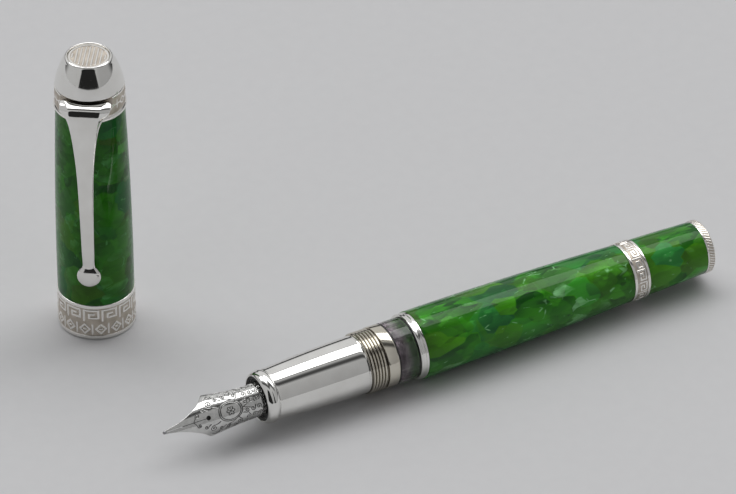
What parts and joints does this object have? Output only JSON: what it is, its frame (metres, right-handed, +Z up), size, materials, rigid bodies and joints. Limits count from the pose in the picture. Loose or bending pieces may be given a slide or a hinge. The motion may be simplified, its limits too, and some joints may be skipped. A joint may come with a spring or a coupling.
{
  "type": "fountain pen",
  "caption": "Piston-filling fountain pen with a marbled resin barrel, metal section and engraved nib, lying uncapped beside its upright clip cap.",
  "frame": {"origin": "middle of the footprint of the lying pen and its standing cap, on the surface they rest on", "axes": "+X along the pen's axis from nib to knob, +Y square to the pen towards the standing cap, +Z up along the cap's axis"},
  "size_m": [0.1233, 0.0616, 0.0627],
  "materials": {
    "nib_metal": "polished and engraved, rhodium-plated",
    "tipping_alloy": "ground and polished",
    "black_ebonite": "satin black with fins",
    "black_plastic": "moulded black",
    "polished_silver": "mirror-polished silver",
    "engraved_silver": "frosted silver with raised pattern and bright rims",
    "black_seal": "smooth black",
    "smoky_window": "clear smoky grey",
    "clear_tube": "clear moulded tube",
    "green_resin": "polished pearly marbled green resin",
    "brass_works": "turned brass",
    "white_washer": "slippery white plastic",
    "steel_screw": "turned steel"
  },
  "bodies": {
    "pen": {"nib": "nib_metal", "nib_tipping": "tipping_alloy", "feed": "black_ebonite", "nib_collar": "black_plastic", "section_sleeve": "polished_silver", "section_seal": "black_seal", "ink_window": "smoky_window", "barrel_ring": "polished_silver", "barrel": "green_resin", "reservoir_tube": "clear_tube", "barrel_band": "engraved_silver", "spindle_guide": "black_plastic"},
    "piston": {"piston_head": "black_plastic", "piston_seals": "black_seal", "piston_rod": "brass_works"},
    "knob_carriage": {"thrust_washer": "white_washer"},
    "knob": {"piston_knob": "green_resin", "knob_end_ring": "engraved_silver", "knob_end_disc": "polished_silver", "drive_spindle": "brass_works"},
    "cap": {"cap_lip_band": "engraved_silver", "cap_thread_bush": "brass_works", "cap_tube": "green_resin", "inner_cap": "black_plastic", "clip_ring": "engraved_silver", "finial_dome": "polished_silver", "finial_screw": "steel_screw", "finial_badge": "engraved_silver"},
    "clip": {"clip": "polished_silver"}
  },
  "joints": [
    {"name": "cap_lift", "type": "slide", "parent": "pen", "child": "cap", "axis": [0, 0, 1], "range_m": [0, 0.08]},
    {"name": "clip_flex", "type": "hinge", "parent": "cap", "child": "clip", "pos_m": [-0.0536, 0.01848, 0.0555], "axis": [-0.8202, 0.5721, 0], "range_deg": [0, 4], "stiffness_Nm_per_rad": 0.2},
    {"name": "knob_rise", "type": "slide", "parent": "pen", "child": "knob_carriage", "axis": [1, 0, 0], "range_m": [0, 0.004]},
    {"name": "knob_turn", "type": "hinge", "parent": "knob_carriage", "child": "knob", "pos_m": [0.05175, -0.02392, 0.0069], "axis": [1, 0, 0], "range_deg": [0, 1440]},
    {"name": "piston_travel", "type": "slide", "parent": "pen", "child": "piston", "axis": [-1, 0, 0], "range_m": [0, 0.0204]}
  ],
  "couplings": [
    {"joint": "knob_rise", "follows": "knob_turn", "m_per_rad": 0.00015915},
    {"joint": "piston_travel", "follows": "knob_turn", "m_per_rad": 0.00081169}
  ]
}
